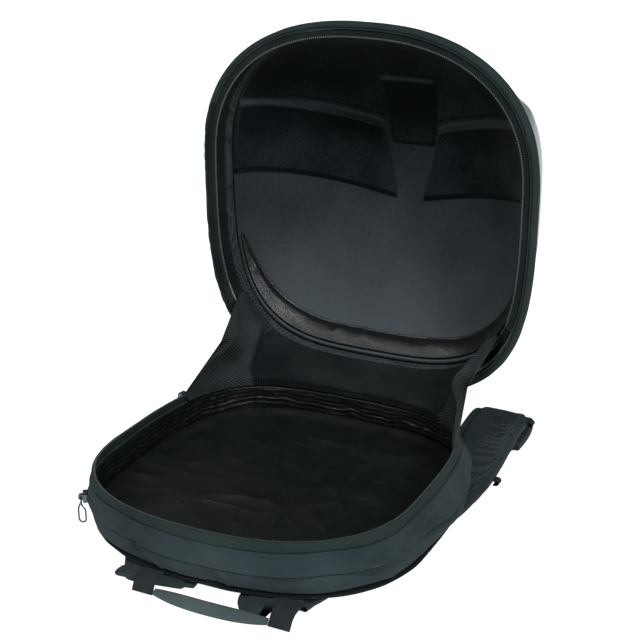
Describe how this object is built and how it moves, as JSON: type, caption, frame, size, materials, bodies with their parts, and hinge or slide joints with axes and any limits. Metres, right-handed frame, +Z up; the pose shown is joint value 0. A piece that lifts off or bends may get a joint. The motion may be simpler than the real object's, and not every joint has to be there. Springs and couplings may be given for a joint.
{
  "type": "hard shell backpack",
  "caption": "Hard shell backpack lying open on its padded back, with a domed lid held upright by a cloth hinge and side gussets.",
  "frame": {"origin": "on the floor under the middle of the tray, on the underside of the back pad", "axes": "+X to the right seen from the handle end, +Y from the handle end to the hinge, +Z up out of the tray"},
  "size_m": [0.36, 0.5061, 0.434],
  "materials": {
    "shell": "glossy light grey-blue moulded shell",
    "outer_cloth": "matte dark slate softshell cloth",
    "webbing": "ribbed dark webbing",
    "zip_tape": "woven zip tape with coil teeth",
    "knit": "ribbed dark grey knit",
    "felt": "near-black flocked lining",
    "nylon": "shiny wrinkled black lining nylon",
    "mesh_cloth": "dark padded air mesh",
    "gloss_trim": "glossy black",
    "zip_metal": "gunmetal"
  },
  "bodies": {
    "pack": {"lid_shell": "shell", "lid_rim": "outer_cloth", "lid_zip_tape": "zip_tape", "lid_facing": "knit", "lid_lining": "felt", "shell_trim_left": "gloss_trim", "shell_trim_right": "gloss_trim", "tray_wall_upper": "outer_cloth", "tray_wall_lower": "outer_cloth", "lower_zip_tape": "zip_tape", "tray_zip_tape": "zip_tape", "tray_lining": "nylon", "back_panel": "mesh_cloth", "back_pad": "mesh_cloth", "hinge_panel": "knit", "lid_pocket": "nylon", "lower_slider": "zip_metal", "main_slider_rear": "zip_metal", "main_slider_front": "zip_metal", "handle_grip": "outer_cloth", "handle_anchor_left": "webbing", "gusset_left": "knit", "strap_left": "mesh_cloth", "strap_webbing_left": "webbing", "strap_tip_loop_left": "webbing", "strap_side_loop_left": "webbing", "handle_anchor_right": "webbing", "gusset_right": "knit", "strap_right": "mesh_cloth", "strap_webbing_right": "webbing", "strap_tip_loop_right": "webbing", "strap_side_loop_right": "webbing"},
    "pull": {"lower_pull": "zip_metal"}
  },
  "joints": [
    {"name": "pull_swing", "type": "hinge", "parent": "pack", "child": "pull", "pos_m": [-0.14546, -0.1117, 0.0366], "axis": [-0.5664, 0.8242, 0], "range_deg": [0, 150]}
  ]
}
